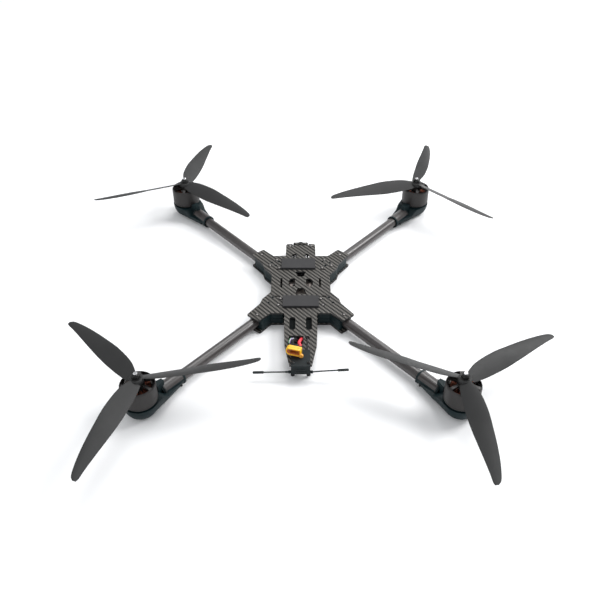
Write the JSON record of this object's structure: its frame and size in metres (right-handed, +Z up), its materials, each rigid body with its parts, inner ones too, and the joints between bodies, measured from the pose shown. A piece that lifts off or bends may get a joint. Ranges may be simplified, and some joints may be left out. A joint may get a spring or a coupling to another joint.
{
  "type": "quadcopter drone",
  "caption": "Long-range FPV quadcopter: carbon plate body, round tube arms, outrunner motors, three-blade propellers, tilting nose camera, tail antenna and power plug.",
  "frame": {"origin": "centre of the bottom plate's underside, on the crossing of the two arm diagonals", "axes": "+Y towards the nose camera, +X to the right, +Z up along the rotor axes"},
  "size_m": [0.7237, 0.8358, 0.072],
  "materials": {
    "carbon_twill": "satin woven carbon laminate",
    "carbon_tube": "satin carbon tube",
    "moulded_nylon": "semi-gloss moulded nylon",
    "flexible_print": "matt flexible plastic",
    "black_aluminium": "satin black anodised",
    "lamination": "varnished steel stack with copper windings",
    "steel": "bright",
    "blade_plastic": "satin filled nylon",
    "pad_rubber": "matt",
    "connector_nylon": "semi-gloss",
    "gold_plate": "bright plated",
    "lead_red_silicone": "satin silicone",
    "lead_black_silicone": "satin silicone",
    "signal_wire_silicone": "satin silicone",
    "camera_shell": "satin",
    "circuit_board": "satin",
    "heat_sink": "satin",
    "capacitor_sleeve": "gloss sleeve"
  },
  "bodies": {
    "frame": {"antenna": "flexible_print", "antenna_holder": "flexible_print", "arm_clamp_fl": "moulded_nylon", "arm_clamp_fr": "moulded_nylon", "arm_clamp_rl": "moulded_nylon", "arm_clamp_rr": "moulded_nylon", "arm_tube_fl": "carbon_tube", "arm_tube_fr": "carbon_tube", "arm_tube_rl": "carbon_tube", "arm_tube_rr": "carbon_tube", "battery_pad_front": "pad_rubber", "battery_pad_rear": "pad_rubber", "bottom_plate": "carbon_twill", "camera_bracket_left": "flexible_print", "camera_bracket_right": "flexible_print", "capacitor": "capacitor_sleeve", "connector_cap": "flexible_print", "connector_housing": "connector_nylon", "connector_pin_negative": "gold_plate", "connector_pin_positive": "gold_plate", "flight_controller": "circuit_board", "lead_black": "lead_black_silicone", "lead_red": "lead_red_silicone", "motor_base_fl": "black_aluminium", "motor_base_fr": "black_aluminium", "motor_base_rl": "black_aluminium", "motor_base_rr": "black_aluminium", "motor_mount_fl": "moulded_nylon", "motor_mount_fr": "moulded_nylon", "motor_mount_rl": "moulded_nylon", "motor_mount_rr": "moulded_nylon", "motor_stator_fl": "lamination", "motor_stator_fr": "lamination", "motor_stator_rl": "lamination", "motor_stator_rr": "lamination", "radio_receiver": "circuit_board", "signal_wire": "signal_wire_silicone", "speed_controller": "circuit_board", "tail_post_left": "black_aluminium", "tail_post_right": "black_aluminium", "top_plate": "carbon_twill", "video_transmitter": "heat_sink"},
    "rotor_fl": {"motor_bell_fl": "black_aluminium", "motor_shaft_fl": "steel", "propeller_fl": "blade_plastic", "prop_nut_fl": "steel"},
    "rotor_fr": {"motor_bell_fr": "black_aluminium", "motor_shaft_fr": "steel", "propeller_fr": "blade_plastic", "prop_nut_fr": "steel"},
    "rotor_rl": {"motor_bell_rl": "black_aluminium", "motor_shaft_rl": "steel", "propeller_rl": "blade_plastic", "prop_nut_rl": "steel"},
    "rotor_rr": {"motor_bell_rr": "black_aluminium", "motor_shaft_rr": "steel", "propeller_rr": "blade_plastic", "prop_nut_rr": "steel"},
    "camera": {"camera_body": "camera_shell", "camera_lens": "camera_shell"}
  },
  "joints": [
    {"name": "rotor_spin_fl", "type": "hinge", "parent": "frame", "child": "rotor_fl", "pos_m": [-0.2131, 0.2543, 0.061], "axis": [0, 0, 1], "continuous": true},
    {"name": "rotor_spin_fr", "type": "hinge", "parent": "frame", "child": "rotor_fr", "pos_m": [0.2131, 0.2543, 0.061], "axis": [0, 0, 1], "continuous": true},
    {"name": "rotor_spin_rl", "type": "hinge", "parent": "frame", "child": "rotor_rl", "pos_m": [-0.2131, -0.2543, 0.061], "axis": [0, 0, 1], "continuous": true},
    {"name": "rotor_spin_rr", "type": "hinge", "parent": "frame", "child": "rotor_rr", "pos_m": [0.2131, -0.2543, 0.061], "axis": [0, 0, 1], "continuous": true},
    {"name": "camera_tilt", "type": "hinge", "parent": "frame", "child": "camera", "pos_m": [0, 0.1145, 0.011], "axis": [1, 0, 0], "range_deg": [-5, 35]}
  ]
}
